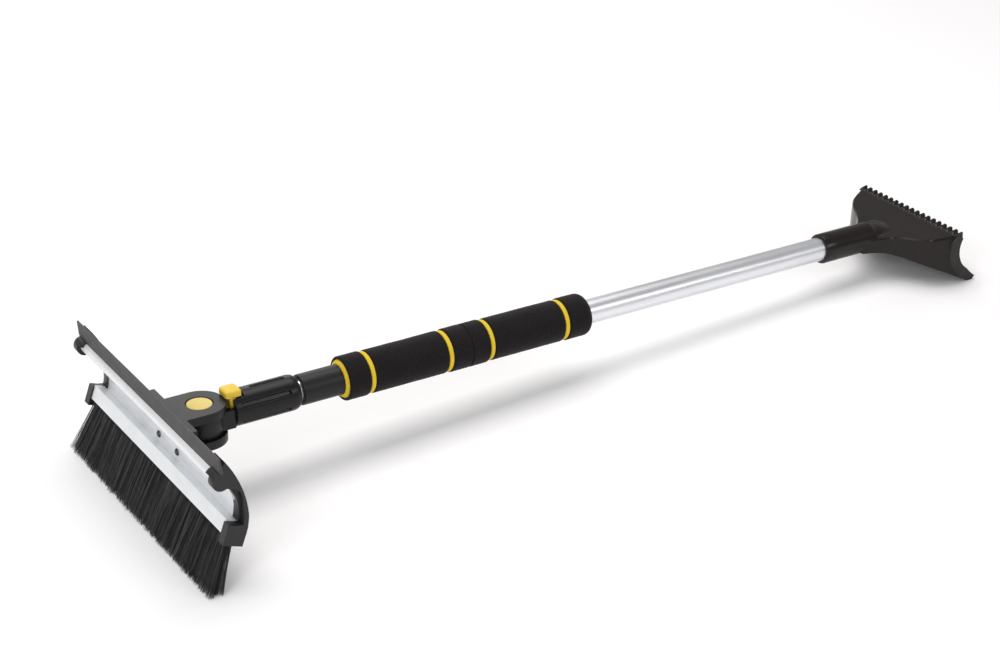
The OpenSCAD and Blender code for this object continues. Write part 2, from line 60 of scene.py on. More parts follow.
# ---------------------------------------------------------------- materials
class Paint:
    """One node material: a Principled shader with helpers for the nodes in front of it."""

    def __init__(self, name, colour, roughness, metallic=0.0, **sockets):
        self.material = bpy.data.materials.new(name)
        self.material.use_nodes = True
        self.tree = self.material.node_tree
        self.shader = next(n for n in self.tree.nodes if n.type == "BSDF_PRINCIPLED")
        self.shader.inputs["Base Color"].default_value = (*colour, 1)
        self.shader.inputs["Roughness"].default_value = roughness
        self.shader.inputs["Metallic"].default_value = metallic
        for socket, value in sockets.items():
            self.shader.inputs[socket.replace("_", " ")].default_value = value
        self.place = self.node("ShaderNodeTexCoord").outputs["Object"]

    def node(self, kind, **inputs):
        made = self.tree.nodes.new(kind)
        for name, value in inputs.items():
            self.feed(made.inputs[name.replace("_", " ")], value)
        return made

    def feed(self, socket, value):
        if isinstance(value, bpy.types.NodeSocket):
            self.tree.links.new(value, socket)
        else:
            socket.default_value = value

    def stretched(self, scale):
        """The place on the object, turned to the pole axis and scaled per metre."""
        tilt = math.atan2(x_axis.z, x_axis.x)
        turned_place = self.node("ShaderNodeMapping", Vector=self.place, Rotation=(0, tilt, 0), Scale=scale)
        return turned_place.outputs[0]

    def noise(self, scale, detail=2.0, place=None, roughness=0.5):
        return self.node("ShaderNodeTexNoise", Vector=place or self.place, Scale=scale, Detail=detail,
                         Roughness=roughness).outputs["Fac"]

    def cells(self, scale, place=None):
        return self.node("ShaderNodeTexVoronoi", Vector=place or self.place, Scale=scale).outputs["Distance"]

    def span(self, value, low, high, from_low=0.0, from_high=1.0):
        return self.node("ShaderNodeMapRange", Value=value, From_Min=from_low, From_Max=from_high,
                         To_Min=low, To_Max=high).outputs[0]

    def math(self, operation, a, b):
        made = self.tree.nodes.new("ShaderNodeMath")
        made.operation = operation
        self.feed(made.inputs[0], a)
        self.feed(made.inputs[1], b)
        return made.outputs[0]

    def mix(self, factor, a, b):
        made = self.tree.nodes.new("ShaderNodeMix")
        made.data_type = "RGBA"
        self.feed(made.inputs["Factor"], factor)
        for socket, value in zip([s for s in made.inputs if s.type == "RGBA"], (a, b)):
            self.feed(socket, value if isinstance(value, bpy.types.NodeSocket) else (*value, 1))
        return next(s for s in made.outputs if s.type == "RGBA")

    def colour(self, value):
        self.feed(self.shader.inputs["Base Color"], value)
        return self

    def rough(self, value):
        self.feed(self.shader.inputs["Roughness"], value)
        return self

    def bump(self, height, distance, strength=1.0, after=None):
        made = self.node("ShaderNodeBump", Height=height, Distance=distance, Strength=strength)
        if after is not None:
            self.feed(made.inputs["Normal"], after)
        self.feed(self.shader.inputs["Normal"], made.outputs[0])
        return made.outputs[0]


def shade(colour, factor):
    return tuple(c * factor for c in colour)


def moulded_plastic(name, colour, worn, roughness, grain_mm, sockets=None):
    """Moulded plastic: fine erosion grain, cloudy gloss, and sparse scuffs a little lighter."""
    gloss_change = 0.045
    p = Paint(name, colour, roughness, **{"Specular_IOR_Level": 0.2, **(sockets or {})})
    grain = p.noise(1 / (grain_mm * MM), 3)
    clouds = p.noise(38, 3)
    p.rough(p.span(p.math("ADD", clouds, p.math("MULTIPLY", grain, 0.4)), roughness - gloss_change,
                   roughness + gloss_change, 0.35, 1.05))
    tone = p.mix(p.span(clouds, 0, 1, 0.3, 0.75), shade(colour, 0.9), shade(colour, 1.1))
    patches = p.span(p.noise(140, 4), 0, 1, 0.6, 0.75)
    scratches = p.span(p.noise(900, 2), 0, 1, 0.5, 0.7)
    scuffs = p.math("MULTIPLY", patches, scratches)
    p.colour(p.mix(p.math("MULTIPLY", scuffs, 0.3), tone, worn))
    flow = p.bump(p.noise(55, 1), 0.25 * MM, 0.12)
    p.bump(grain, 0.036 * MM, 0.5, flow)
    return p.material


def drawn_aluminium(name, colour, roughness, tarnish):
    """Anodised tube: hairlines along the axis, faint handling marks, soft gloss."""
    p = Paint(name, colour, roughness, 1.0)
    hair = p.noise(1, 4, p.stretched((14, 2600, 2600)), 0.65)
    bands = p.noise(1, 2, p.stretched((3, 260, 260)))
    marks = p.noise(1, 5, p.stretched((25, 120, 120)), 0.7)
    p.colour(p.mix(p.span(marks, 0, 0.5, 0.5, 0.85), colour, tarnish))
    p.rough(p.span(p.math("ADD", hair, bands), roughness - 0.04, roughness + 0.06, 0.7, 1.3))
    p.bump(hair, 0.02 * MM, 0.35)
    return p.material


def painted_profile(name, colour, roughness):
    """Extruded aluminium with a pale satin finish: die lines along its length and a little dust in them."""
    p = Paint(name, colour, roughness, 0.25, Coat_Weight=0.15, Coat_Roughness=0.3)
    lines = p.node("ShaderNodeMapping", Vector=p.place, Scale=(1500, 5, 1500)).outputs[0]
    die = p.noise(1, 3, lines)
    dust = p.noise(26, 5, roughness=0.7)
    p.colour(p.mix(p.span(dust, 0, 0.8, 0.45, 0.85), colour, shade(colour, 0.84)))
    p.rough(p.span(die, roughness - 0.06, roughness + 0.1))
    p.bump(die, 0.03 * MM, 0.4)
    return p.material


def foam(name, colour, light, cell_mm, depth_mm):
    """Closed-cell foam: small burst cells in the skin with painted shade in their pits, a dull face with a
    faint fuzz.
    """
    p = Paint(name, colour, 0.95, Sheen_Weight=0.1, Sheen_Roughness=0.45, Specular_IOR_Level=0.14)
    cell = p.cells(1 / (cell_mm * MM))
    fine = p.noise(1 / (cell_mm * 0.45 * MM), 4, roughness=0.7)
    wide = p.noise(60, 3)
    # Painted shade and light: the colour is darker in the cell pits and paler on the rims between them,
    # following the bump heights; the wide noise adds a random tone.
    painted_pit_shade = p.math("MULTIPLY", p.span(cell, 0, 1, 0.1, 0.75), p.span(fine, 0.5, 1, 0.3, 0.7))
    p.colour(p.mix(p.math("ADD", p.math("MULTIPLY", painted_pit_shade, 0.75), p.span(wide, -0.1, 0.2)), colour, light))
    deep = p.bump(cell, depth_mm * MM, 0.8)
    p.bump(fine, depth_mm * 0.5 * MM, 0.6, deep)
    return p.material


def rubber(name, colour, light, roughness):
    """Extruded rubber: dull, with length-wise skin lines and a chalky bloom."""
    p = Paint(name, colour, roughness)
    lines = p.noise(1, 2, p.node("ShaderNodeMapping", Vector=p.place, Scale=(900, 6, 900)).outputs[0])
    bloom = p.noise(90, 5, roughness=0.75)
    p.colour(p.mix(p.span(bloom, 0, 0.7, 0.4, 0.8), colour, light))
    p.rough(p.span(lines, roughness - 0.1, roughness + 0.08))
    p.bump(lines, 0.05 * MM, 0.4)
    return p.material


def turned_steel(name, colour, roughness):
    """Small plated fasteners: fine turning marks and dull spots."""
    p = Paint(name, colour, roughness, 1.0)
    spots = p.noise(900, 4)
    p.rough(p.span(spots, roughness - 0.08, roughness + 0.15, 0.3, 0.7))
    p.colour(p.mix(p.span(spots, 0, 1, 0.45, 0.7), colour, shade(colour, 0.6)))
    p.bump(p.noise(2500, 2), 0.01 * MM, 0.5)
    return p.material


def bristle_fibre(name, colour, light):
    """Crimped filaments: each one has its own shade of black, and a few picked at random are painted pale
    grey as highlight streaks.
    """
    p = Paint(name, colour, 0.42, Specular_IOR_Level=0.4)
    fibre_tone_and_highlight = p.node("ShaderNodeNewGeometry").outputs["Random Per Island"]
    along = p.noise(500, 2)
    # A few filaments, picked at random, get the pale colour as painted highlight streaks; the rest vary a
    # little in their own black.
    p.colour(p.mix(p.math("MULTIPLY", p.math("POWER", fibre_tone_and_highlight, 3.6), 0.9), colour, light))
    p.rough(p.span(p.math("ADD", fibre_tone_and_highlight, along), 0.3, 0.55, 0.2, 1.6))
    p.bump(along, 0.02 * MM, 0.3)
    return p.material


FINISHES = {
    "satin_aluminium": (drawn_aluminium, (0.80, 0.81, 0.84), 0.34, (0.62, 0.63, 0.66)),
    "painted_aluminium": (painted_profile, (0.86, 0.875, 0.89), 0.38),
    "black_bush": (moulded_plastic, (0.009, 0.009, 0.010), (0.05, 0.05, 0.05), 0.42, 0.35,
                   {"Specular_IOR_Level": 0.3}),
    "black_plastic": (moulded_plastic, (0.0075, 0.0065, 0.007), (0.05, 0.047, 0.047), 0.4, 0.45,
                      {"Specular_IOR_Level": 0.3}),
    "sleeve_plastic": (moulded_plastic, (0.006, 0.006, 0.0065), (0.04, 0.04, 0.04), 0.33, 0.3,
                       {"Specular_IOR_Level": 0.26}),
    "cap_plastic": (moulded_plastic, (0.021, 0.021, 0.023), (0.07, 0.07, 0.07), 0.36, 0.4,
                    {"Specular_IOR_Level": 0.3}),
    "scraper_plastic": (moulded_plastic, (0.0085, 0.0048, 0.0044), (0.045, 0.036, 0.033), 0.27, 0.4,
                        {"Coat_Weight": 0.12, "Coat_Roughness": 0.12, "Specular_IOR_Level": 0.24}),
    "black_nylon": (moulded_plastic, (0.010, 0.010, 0.011), (0.05, 0.05, 0.05), 0.5, 0.3),
    "white_nylon": (moulded_plastic, (0.72, 0.70, 0.64), (0.8, 0.79, 0.75), 0.45, 0.3),
    "zinc_steel": (turned_steel, (0.66, 0.66, 0.68), 0.3),
    "black_rivet": (turned_steel, (0.10, 0.10, 0.105), 0.35),
    "yellow_plastic": (moulded_plastic, (0.78, 0.55, 0.060), (0.88, 0.72, 0.22), 0.42, 0.4),
    "pale_yellow_plastic": (moulded_plastic, (0.72, 0.57, 0.165), (0.82, 0.7, 0.36), 0.42, 0.4),
    # The second colour of each foam is the paler rim colour of the painted pit shade.
    "yellow_foam": (foam, (0.66, 0.44, 0.012), (0.86, 0.66, 0.06), 0.9, 0.12),
    "black_foam": (foam, (0.0045, 0.0036, 0.004), (0.020, 0.017, 0.018), 1.0, 0.16),
    "blade_rubber": (rubber, (0.040, 0.038, 0.040), (0.085, 0.08, 0.082), 0.62),
    # The second bristle colour is the pale grey of the painted highlight streaks.
    "bristle_fibre": (bristle_fibre, (0.006, 0.006, 0.0065), (0.17, 0.17, 0.175))}
MATERIALS = {name: make(name, *finish) for name, (make, *finish) in FINISHES.items()}

# ---------------------------------------------------------------- mesh helpers
def link(name, mesh, body, slot, *stands_for):
    """Puts a mesh made in hub millimetres into the scene as a piece of the object."""
    mesh.transform(HUB)
    piece = bpy.data.objects.new(name, mesh)
    bpy.context.scene.collection.objects.link(piece)
    mesh.materials.clear()
    mesh.materials.append(MATERIALS[slot])
    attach(piece, body)
    if stands_for:
        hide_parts(*stands_for)
    return piece


def as_mesh(name, bm, sharp_deg=35):
    """Finishes a bmesh: faces outward, smooth shading with sharp edges past an angle."""
    bmesh.ops.recalc_face_normals(bm, faces=bm.faces)
    for f in bm.faces:
        f.smooth = True
    for e in bm.edges:
        e.smooth = len(e.link_faces) == 2 and e.calc_face_angle(0) < math.radians(sharp_deg)
    mesh = bpy.data.meshes.new(name)
    bm.to_mesh(mesh)
    bm.free()
    return mesh


def loft(bm, rings):
    """Skins closed rings of points, each the same length, and caps the first and the last."""
    made = [[bm.verts.new(p) for p in ring] for ring in rings]
    n = len(made[0])
    for a, b in zip(made, made[1:]):
        for i in range(n):
            j = (i + 1) % n
            bm.faces.new((a[i], a[j], b[j], b[i]))
    bm.faces.new(made[0])
    bm.faces.new(reversed(made[-1]))


def circle(n):
    """Cosine and sine of n even steps round a circle."""
    return [(math.cos(2 * math.pi * i / n), math.sin(2 * math.pi * i / n)) for i in range(n)]


def turned(profile, sides=96, wobble=None):
    """A closed ring of revolution about the pole axis. profile is a closed loop of (radius, x)."""
    bm = bmesh.new()
    rings = []
    for c, s in circle(sides):
        ring = []
        for r, x in profile:
            grow = wobble(x, r * c, r * s) if wobble else 0.0
            ring.append((x, (r + grow) * c, (r + grow) * s))
        rings.append(ring)
    made = [[bm.verts.new(p) for p in ring] for ring in rings]
    n = len(profile)
    for k in range(sides):
        a, b = made[k], made[(k + 1) % sides]
        for i in range(n):
            j = (i + 1) % n
            bm.faces.new((a[i], a[j], b[j], b[i]))
    return bm


def bezier(a, b, c, n):
    """n + 1 points of the curve from a to c that is pulled towards b."""
    return [tuple((1 - t) ** 2 * p + 2 * t * (1 - t) * q + t * t * r for p, q, r in zip(a, b, c))
            for t in (i / n for i in range(n + 1))]


def arc(c, r, a0, a1, n):
    """n + 1 points on a circle round c, from angle a0 to a1 in degrees."""
    return [(c[0] + r * math.cos(math.radians(a0 + (a1 - a0) * i / n)),
             c[1] + r * math.sin(math.radians(a0 + (a1 - a0) * i / n))) for i in range(n + 1)]


def smooth(t):
    """Eases 0 to 1, flat outside that range."""
    t = min(1.0, max(0.0, t))
    return t * t * (3 - 2 * t)


def polished(node, slot, bevel_mm=0.0, segments=3):
    """Keeps a CAD node and gives it its finish, and rounded edges with hardened normals when a bevel width is
    given.
    """
    o = nodes[node]
    o.data.materials.clear()
    o.data.materials.append(MATERIALS[slot])
    weld = o.modifiers.new("weld", "WELD")
    weld.merge_threshold = 2e-6
    if bevel_mm:
        flat = o.modifiers.new("flat", "DECIMATE")
        flat.decimate_type = "DISSOLVE"
        flat.angle_limit = math.radians(0.6)
        edge = o.modifiers.new("edge", "BEVEL")
        edge.width = bevel_mm * MM
        edge.segments = segments
        edge.limit_method = "ANGLE"
        edge.angle_limit = math.radians(32)
        edge.miter_outer = "MITER_ARC"
        edge.use_clamp_overlap = True
        edge.harden_normals = True
    return o


def boolean(piece, operation, mesh):
    """Applies a boolean with a helper mesh given in hub millimetres."""
    mesh.transform(HUB)
    helper = bpy.data.objects.new("helper", mesh)
    bpy.context.scene.collection.objects.link(helper)
    cut = piece.modifiers.new("cut", "BOOLEAN")
    cut.operation = operation
    cut.object = helper
    cut.solver = "EXACT"
    bpy.context.view_layer.update()
    done = bpy.data.meshes.new_from_object(piece.evaluated_get(bpy.context.evaluated_depsgraph_get()))
    piece.modifiers.clear()
    piece.data = done
    bpy.data.objects.remove(helper)


def block(name, low, high):
    """A box between two corners, in hub millimetres."""
    bm = bmesh.new()
    bmesh.ops.create_cube(bm, size=1)
    for v in bm.verts:
        v.co = Vector([b if c > 0 else a for a, b, c in zip(low, high, v.co)])
    return as_mesh(name, bm, 30)


def sharpen(mesh, degrees):
    """Marks sharp edges past an angle on a finished mesh, and shades the rest smooth."""
    bm = bmesh.new()
    bm.from_mesh(mesh)
    bmesh.ops.remove_doubles(bm, verts=bm.verts, dist=1e-7)
    for f in bm.faces:
        f.smooth = True
    for e in bm.edges:
        e.smooth = len(e.link_faces) == 2 and e.calc_face_angle(0) < math.radians(degrees)
    bm.to_mesh(mesh)
    bm.free()


# ---------------------------------------------------------------- CAD nodes that stay
KEPT = {
    "outer_tube": ("satin_aluminium",), "inner_tube": ("satin_aluminium",), "tube_bush": ("black_bush",),
    "lock_cam": ("black_nylon", 0.3), "lock_cam_rivet": ("zinc_steel",), "lock_ring": ("white_nylon", 0.3),
    "scraper_screw": ("zinc_steel",), "sleeve_screw": ("zinc_steel",), "swivel_neck": ("black_plastic", 0.5),
    "bracket": ("black_plastic", 0.8, 4), "pivot_bolt": ("zinc_steel", 0.3), "pivot_nut": ("zinc_steel", 0.3),
    "friction_washers": ("white_nylon",), "pivot_cap": ("pale_yellow_plastic", 0.3),
    "bracket_rivets": ("black_rivet", 0.5), "head_profile": ("painted_aluminium", 0.25),
    "squeegee_blade": ("blade_rubber", 0.2), "bristle_strip": ("black_nylon", 0.3),
    "end_cap_left": ("cap_plastic", 0.7, 4), "end_cap_right": ("cap_plastic", 0.7, 4),
    "end_cap_screws": ("zinc_steel", 0.25)}
for node, finish in KEPT.items():
    polished(node, *finish)

# ---------------------------------------------------------------- neck sleeve
SLEEVE = (25.6, 84.9)
SLEEVE_R, SLEEVE_END_R = 15.0, 11.8
TUBE_SEAT_R, SPIGOT_R, TUBE_START = 9.55, 7.6, 29.9
GROOVE_W, GROOVE_DEPTH, GROOVE_EVERY = 4.8, 1.9, math.radians(60)
GROOVE_START, TOP_GROOVE_START, GROOVE_END = 33.3, 46.3, 72.7
SLOTS = ((24.6, 35.6, 8.7, 12.2), (24.6, 29.6, 8.2, 3.6))


def sleeve_groove(x, y, z):
    """Depth of the six long grooves: round ends, soft walls, a slightly hollow floor."""
    if math.hypot(y, z) < 12.5:
        return 0.0
    angle = math.atan2(y, z)
    k = round(angle / GROOVE_EVERY)
    aside = SLEEVE_R * (angle - k * GROOVE_EVERY)
    start = TOP_GROOVE_START if k == 0 else GROOVE_START
    beyond = max(0.0, start - x, x - GROOVE_END)
    inside = GROOVE_W / 2 - math.hypot(aside, beyond)
    return -GROOVE_DEPTH * smooth(inside / 0.75) - 0.12 * smooth(inside / (GROOVE_W / 2))


def sleeve_mesh():
    """Grip sleeve of the neck: rounded front edge, grooved length, nose that narrows to the tube."""
    x0, x1 = SLEEVE
    edge, nose, steps = 0.9, 7, 110
    loop = [(SLEEVE_R - edge + edge * math.sin(t), x0 + edge - edge * math.cos(t))
            for t in (math.pi / 2 * i / 5 for i in range(6))]
    loop += [(SLEEVE_R, x0 + edge + (x1 - nose - edge - x0) * i / steps) for i in range(1, steps + 1)]
    loop += bezier((SLEEVE_R, x1 - nose), (SLEEVE_R - 0.1, x1 - 1), (SLEEVE_END_R, x1 - 0.3), 10)[1:]
    loop += [(SLEEVE_END_R - 0.3, x1), (11.2, x1), (10.6, x1 - 1.6), (TUBE_SEAT_R, x1 - 1.6),
             (TUBE_SEAT_R, TUBE_START), (SPIGOT_R, TUBE_START), (SPIGOT_R, x0)]
    return as_mesh("neck_sleeve", turned(loop, 288, sleeve_groove), 40)


sleeve = link("neck_sleeve_shell", sleeve_mesh(), "inner_pole", "sleeve_plastic", "neck_sleeve")
for x0, x1, y, z in SLOTS:
    boolean(sleeve, "DIFFERENCE", block("slot", (x0, -y, z), (x1, y, 22)))
sharpen(sleeve.data, 40)


# ---------------------------------------------------------------- thumb slider
PAD = ((20.0, 34.0), 7.5, (12.65, 19.1))
STEM_X = (23.4, 28.4)


def pad_ring(x0, x1, y, r, n=7):
    """Rounded rectangle seen from above."""
    ring = []
    for cx, cy, a0 in ((x1 - r, y - r, 0), (x0 + r, y - r, 90), (x0 + r, -y + r, 180), (x1 - r, -y + r, 270)):
        ring += arc((cx, cy), r, a0, a0 + 90, n)
    return ring


def slider_mesh():
    """Crowned pad with soft edges, on the stem that goes down into the neck."""
    (x0, x1), y, (z0, z1) = PAD
    bm = bmesh.new()
    edge = 1.9
    rings = [[(px, py, z0) for px, py in pad_ring(x0 + 0.6, x1 - 0.6, y - 0.6, 1.6)],
             [(px, py, z0 + 0.6) for px, py in pad_ring(x0, x1, y, 2.0)]]
    for i in range(9):
        t = math.pi / 2 * i / 8
        inset = edge * (1 - math.cos(t))
        z = z1 - 0.5 - edge + edge * math.sin(t)
        rings.append([(px, py, z) for px, py in pad_ring(x0 + inset, x1 - inset, y - inset, 2.2)])
    for k in (0.75, 0.5, 0.25):
        mid = (x0 + x1) / 2
        ring = [(mid + (px - mid) * k, py * k) for px, py in pad_ring(x0 + edge, x1 - edge, y - edge, 2.2)]
        rings.append([(px, py, z1 - 0.5 * k * k) for px, py in ring])
    loft(bm, rings)
    loft(bm, [[(px, py, z) for px, py in pad_ring(*STEM_X, y - inset, 0.9)]
              for z, inset in ((4.0, 0.3), (4.4, 0.0), (8.0, 0.0), (z0 + 1.0, 0.0))])
    return as_mesh("lock_slider", bm, 45)


tongue = block("tongue", (16.8, -3.2, 2.6), (24.4, 3.2, 4.3))
slider = link("thumb_slider", slider_mesh(), "lock_slider", "yellow_plastic", "lock_slider")
boolean(slider, "UNION", tongue)
sharpen(slider.data, 45)

# ---------------------------------------------------------------- foam grips
def foam_profile(x0, x1, r, inner, round0, round1, step=1.1):
    """Closed (radius, x) loop of a foam band with rounded ends."""
    outer = [(r - round0 + round0 * math.sin(t), x0 + round0 - round0 * math.cos(t))
             for t in (math.pi / 2 * i / 6 for i in range(7))]
    count = max(2, int((x1 - x0 - round0 - round1) / step))
    outer += [(r, x0 + round0 + (x1 - x0 - round0 - round1) * i / count) for i in range(1, count)]
    outer += [(r - round1 + round1 * math.cos(t), x1 - round1 + round1 * math.sin(t))
              for t in (math.pi / 2 * i / 6 for i in range(7))]
    return outer + [(inner, x1), (inner, x0)]


def foam_skin(seed, fine, wide):
    """Uneven skin of cut foam, in millimetres."""
    offset = Vector((seed * 31.7, seed * 11.3, seed * 5.1))

    def grow(x, y, z):
        p = Vector((x, y, z))
        return fine * noise.noise(p * 0.9 + offset) + wide * noise.noise(p * 0.07 + offset)
    return grow


def span_of(node):
    """Where a node starts and ends along the pole axis, in hub millimetres."""
    inverse = HUB.inverted()
    xs = [(inverse @ v.co).x for v in nodes[node].data.vertices]
    return min(xs), max(xs)


CORE_R = 16.9
LONG_R, SHORT_R = 18.4, 18.8
FRONT_REACH = 2.3
BANDS = {"foam_band_front_end": (SHORT_R, 1.6, 1.6), "foam_grip_front": (LONG_R, 1.6, 1.6),
         "foam_band_front_mid": (SHORT_R, 1.6, 1.3), "foam_band_rear_mid": (SHORT_R, 1.3, 1.6),
         "foam_grip_rear": (LONG_R, 1.6, 1.6), "foam_band_rear_end": (SHORT_R, 1.6, 6.5)}
for seed, (node, (r, round0, round1)) in enumerate(BANDS.items()):
    x0, x1 = span_of(node)
    if node == "foam_band_front_end":
        x0 -= FRONT_REACH
    inner = CORE_R + 0.05
    loop = foam_profile(x0, x1, r, inner, round0, round1)
    if node == "foam_band_rear_end":
        loop = loop[:-2] + [(11.05, x1), (11.05, x1 - 5.9), (inner, x1 - 5.9), (inner, x0)]
    bm = turned(loop, 176, foam_skin(seed + 1, 0.10, 0.16))
    link(node + "_skin", as_mesh(node, bm, 60), "pole", "black_foam", node)

for seed, node in enumerate(("foam_core_front", "foam_core_rear")):
    o = polished(node, "yellow_foam")

# ---------------------------------------------------------------- ice scraper
SCRAPER_HALF = 67.7
TEETH = 19
TOOTH_TIP = (747.0, 16.0)
NOTCH_DEPTH = 3.2
PLATE_SLOPE = 0.2141
PLATE_AT = (683.0, 2.3)
HOLLOW = (769.5, -2.2)
HOLLOW_R = 24.0
BLADE_TIP, BLADE_HEEL = (767.6, -32.5), (764.6, -35.8)
BELLY = bezier((759, -36), (712, -11), (690, -10.9), 24) + [(676, -10.9)]
FLARE = ([(676, 0), (676, 12)] + bezier((676, 12), (698, 16.5), (707, 36), 20)[1:]
         + bezier((707, 36), (718, 60.5), (736.5, SCRAPER_HALF), 20)[1:])
RIM = [(13.5, 741.0), (8.5, 737.6), (3.0, 734.4), (-5.9, 733.3), (-14.6, 736.3), (-22.9, 742.3),
       (-36.0, 756.5)]
SOCKET_R = 14.0
RAMP = (688.0, 712.0)


def along(points, value, key, want):
    """Linear reading of a polyline: the `want` coordinate where the `key` coordinate is value."""
    for p, q in zip(points, points[1:]):
        lo, hi = sorted((p[key], q[key]))
        if lo <= value <= hi and hi > lo:
            t = (value - p[key]) / (q[key] - p[key])
            return p[want] + t * (q[want] - p[want])
    return points[0][want] if abs(value - points[0][key]) < abs(value - points[-1][key]) else points[-1][want]


def plate(x):
    """Height of the sloping plate."""
    return PLATE_AT[1] + PLATE_SLOPE * (x - PLATE_AT[0])


def boss(x, y):
    """Height of the socket's cheek over the plate, and of the flat-sided wedge that it ends in."""
    k = min(1.0, max(0.0, (x - RAMP[0]) / (RAMP[1] - RAMP[0])))
    half = SOCKET_R - 0.1
    tall = (1 - k) * (SOCKET_R - 0.1) + k * (plate(RAMP[1]) - 0.4)
    if abs(y) >= half + 6 * k:
        return -50.0
    round_top = tall * (1 - min(1.0, abs(y) / half) ** 2) ** 0.5
    wedge = tall - (tall - plate(x) + 1.0) * (abs(y) / (half + 6 * k)) ** 1.35
    return (1 - smooth(k * 3)) * round_top + smooth(k * 3) * wedge


def tooth(y):
    """1 at a tooth's tip, 0 in the notch beside it, with rounded tips."""
    pitch = 2 * SCRAPER_HALF / (TEETH - 1)
    phase = ((y + SCRAPER_HALF) / pitch) % 1.0
    d = min(phase, 1 - phase) * 2
    return max(0.0, 1 - (d / 0.97) ** 2.4) if d < 0.97 else 0.0


def section(y):
    """Side outline of the scraper at y: plate, tooth, lip, hollow, blade, belly and rear wall."""
    a = abs(y)
    end = min(1.0, max(0.0, (a - 57.0) / (SCRAPER_HALF - 57.0)))
    ease = end * end
    wall = along(FLARE, min(a, SCRAPER_HALF), 1, 0)

    def rear(z):
        rim = along(RIM, z, 0, 1)
        bulge = 1.2 * math.sin(math.pi * min(1.0, max(0.0, (z + 34) / 46))) * (1 - end)
        return wall + (rim - wall) * ease - bulge

    bite = tooth(y)
    top_x = rear(plate(wall))
    soft = 1.1
    points = []
    front = TOOTH_TIP[0] - 10.0
    for i in range(26):
        x = top_x + soft + (front - top_x - soft) * i / 25
        z = max(plate(x), boss(x, y))
        points.append((x, z))
    lift = TOOTH_TIP[1] - plate(TOOTH_TIP[0] - 0.6)
    for i in range(1, 9):
        t = i / 8
        x = front + (TOOTH_TIP[0] - 0.8 - front) * t
        ridge = 1.1 * smooth(t * 2) + 2.4 * smooth((t - 0.3) / 0.7)
        drop = -2.6 * smooth((t - 0.25) / 0.75)
        back = NOTCH_DEPTH * (1 - bite) * smooth((t - 0.3) / 0.7)
        points.append((x - back, plate(x) + drop + (ridge + lift) * bite))
    notch_x = NOTCH_DEPTH * (1 - bite)
    tip_z = points[-1][1]
    points.append((TOOTH_TIP[0] - notch_x, tip_z - 0.6))
    points.append((TOOTH_TIP[0] + 0.4 - notch_x * 0.9, min(tip_z - 1.6, 11.0)))
    start = math.degrees(math.atan2(9 - HOLLOW[1], 748.6 - HOLLOW[0]))
    stop = math.degrees(math.atan2(-22.4 - HOLLOW[1], 756.6 - HOLLOW[0])) + 360
    points += arc(HOLLOW, HOLLOW_R, start, stop, 22)
    points += [(762.4, -28.2), (767.2, -32.0), BLADE_TIP, (767.3, -33.4)]
    points += [(765.2, -35.5), BLADE_HEEL, (763.6, -36.0)]
    low_x = rear(along(BELLY, wall, 0, 1))
    for i in range(27):
        x = 759 + (low_x + soft - 759) * i / 26
        points.append((x, along(BELLY, x, 0, 1)))
    z_low = along(BELLY, low_x + soft, 0, 1) + soft
    z_top = plate(top_x) - soft
    for i in range(13):
        z = z_low + (z_top - z_low) * i / 12
        points.append((rear(z), z))
    return points


def scraper_mesh():
    """The scraper's head, lofted from side outlines across its width."""
    bm = bmesh.new()
    steps = (TEETH - 1) * 14
    stations = [-SCRAPER_HALF + 2 * SCRAPER_HALF * i / steps for i in range(steps + 1)]
    rings = [[(x, y, z) for x, z in section(y)] for y in stations]
    loft(bm, rings)
    return as_mesh("blade_holder", bm, 38)


scraper = link("scraper_blades", scraper_mesh(), "pole", "scraper_plastic", "scraper_head")
SOCKET_MOUTH = 631.4
SOCKET_LOOP = [(11.05, SOCKET_MOUTH + 0.6), (11.6, SOCKET_MOUTH), (13.0, SOCKET_MOUTH),
               (13.7, SOCKET_MOUTH + 0.4), (SOCKET_R, SOCKET_MOUTH + 1.2), (SOCKET_R, 645), (SOCKET_R, 660),
               (SOCKET_R, 675), (SOCKET_R, 689), (13.0, 690.0), (4.0, 690.0), (4.0, 668.0), (11.05, 668.0)]
boolean(scraper, "UNION", as_mesh("socket", turned(SOCKET_LOOP, 96), 40))
sharpen(scraper.data, 33)

# ---------------------------------------------------------------- bristles
LEAN = math.radians(20)
CHANNEL = Vector((-42.3, 0, -28.6))
U_AXIS = Vector((math.cos(LEAN), 0, -math.sin(LEAN)))
V_AXIS = Vector((math.sin(LEAN), 0, math.cos(LEAN)))
MOUTH_U = 7.0
BRISTLE_LEN = 47.0
REACH_U = 4.0
STRIP_HALF = 126.5
ROWS, TUFTS, PER_TUFT = 3, 76, 34
STRAYS = ((-124.5, 7, -5.5, 2.0), (124.6, 8, 9.0, -1.0), (125.2, 6, 11.5, -2.5), (124.9, 7.5, 10.2, 1.5),
          (20, 3.5, -46, -4.5), (-96, 3.2, 15, -6.0), (96, 4, 18, -4.0))


def bristle(bm, points, radius):
    """One filament: a tapering three-sided tube through the points."""
    rings = []
    for i, p in enumerate(points):
        ahead = points[min(i + 1, len(points) - 1)] - points[max(i - 1, 0)]
        side = ahead.cross(Vector((1, 0, 0.2))).normalized()
        other = ahead.cross(side).normalized()
        r = radius * (1 - 0.35 * i / (len(points) - 1))
        rings.append([p + r * (c * side + s * other) for c, s in circle(3)])
    loft(bm, rings)


